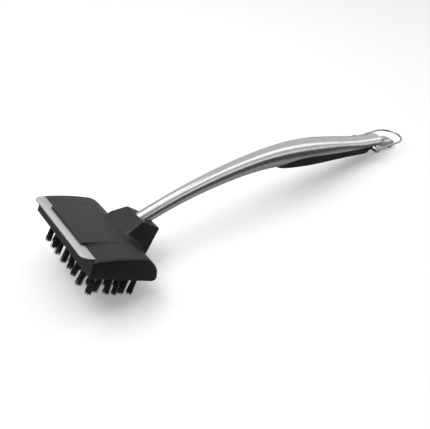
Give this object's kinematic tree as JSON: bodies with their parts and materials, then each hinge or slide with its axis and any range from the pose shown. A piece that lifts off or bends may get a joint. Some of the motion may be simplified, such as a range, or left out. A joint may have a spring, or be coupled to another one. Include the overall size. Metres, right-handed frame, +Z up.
{
  "type": "grill cleaning brush",
  "caption": "Grill brush with a wide bristle head, a steel scraper blade on its front edge, a bent tapered steel handle with a rubber grip below, and a swinging wire hanging ring.",
  "frame": {"origin": "on the floor under the middle of the brush's outline, as it lies at rest on its rear tufts and the handle's tail", "axes": "+X from the head towards the hanging ring, +Y across the head, +Z up"},
  "size_m": [0.4494, 0.112, 0.0709],
  "materials": {
    "head_plastic": "moulded, fine texture",
    "block_plastic": "moulded",
    "bristle": "stiff nylon filament",
    "anchor_wire": "flat wire",
    "screw_steel": "zinc plated",
    "blade_steel": "satin stainless",
    "tube_steel": "satin stainless, brushed along",
    "plug_steel": "turned",
    "carrier_plastic": "moulded",
    "grip_rubber": "soft touch",
    "cap_steel": "cast and polished stainless",
    "pin_steel": "turned",
    "ring_wire": "bright drawn wire"
  },
  "bodies": {
    "brush": {"head_shell": "head_plastic", "bristle_block": "block_plastic", "tuft_row_1": "bristle", "tuft_row_2": "bristle", "tuft_row_3": "bristle", "tuft_row_4": "bristle", "tuft_row_5": "bristle", "tuft_row_6": "bristle", "tuft_anchors": "anchor_wire", "block_screws": "screw_steel", "scraper_blade": "blade_steel", "blade_screws": "screw_steel", "handle_tube": "tube_steel", "tube_plug": "plug_steel", "handle_screw": "screw_steel", "grip_carrier": "carrier_plastic", "grip_pad": "grip_rubber", "end_cap": "cap_steel", "cap_screw": "screw_steel", "ring_pin": "pin_steel", "pin_bushes": "pin_steel"},
    "ring": {"hanging_ring": "ring_wire"}
  },
  "joints": [
    {"name": "ring_swing", "type": "hinge", "parent": "brush", "child": "ring", "pos_m": [0.16644, 0, 0.01695], "axis": [0, 1, 0], "range_deg": [-150, 150]}
  ]
}
